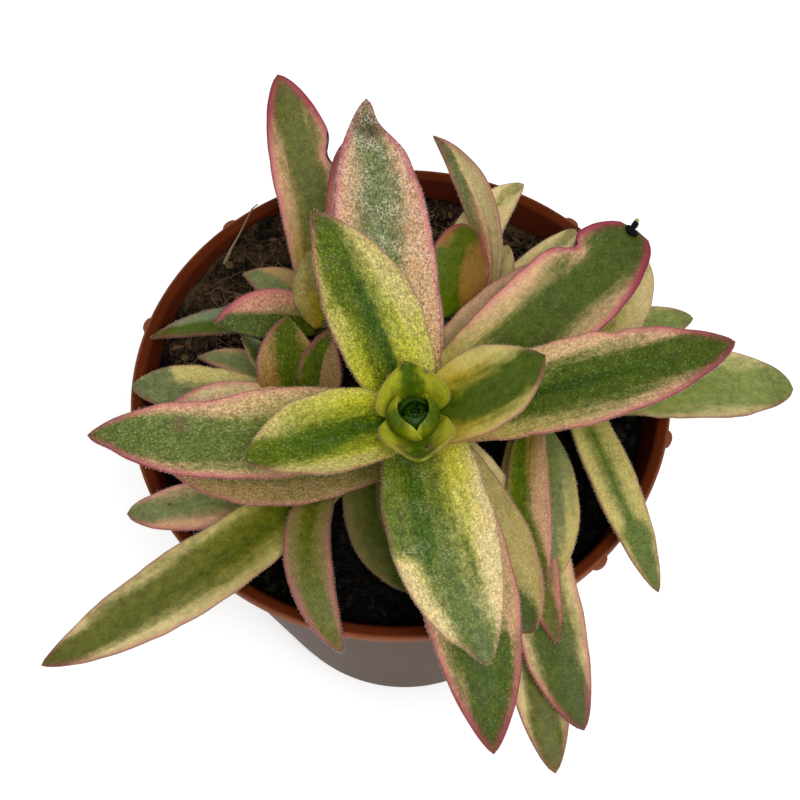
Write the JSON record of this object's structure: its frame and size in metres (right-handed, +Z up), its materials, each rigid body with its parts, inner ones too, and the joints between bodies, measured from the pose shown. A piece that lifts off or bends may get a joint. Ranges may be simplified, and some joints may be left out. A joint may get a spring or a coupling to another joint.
{
  "type": "potted crassula",
  "caption": "Branching crassula with fleshy pointed leaves in opposite pairs, rooted in the soil of a thin tapered nursery pot.",
  "frame": {"origin": "middle of the pot's flat underside", "axes": "+Z up, +X to the right of the picture, +Y away from the camera"},
  "size_m": [0.1357, 0.1279, 0.1376],
  "materials": {
    "terracotta_plastic": "satin",
    "peat_soil": "matte",
    "rosette_leaf": "satin",
    "shoot_leaf": "satin",
    "dry_straw": "matte"
  },
  "bodies": {
    "root": {"pot": "terracotta_plastic", "soil": "peat_soil", "main_rosette": "rosette_leaf", "shoot_back_left": "shoot_leaf", "shoot_left": "shoot_leaf", "shoot_front_left": "shoot_leaf", "shoot_front_right": "shoot_leaf", "shoot_right": "shoot_leaf", "shoot_back_right": "shoot_leaf", "straw": "dry_straw"}
  },
  "joints": []
}
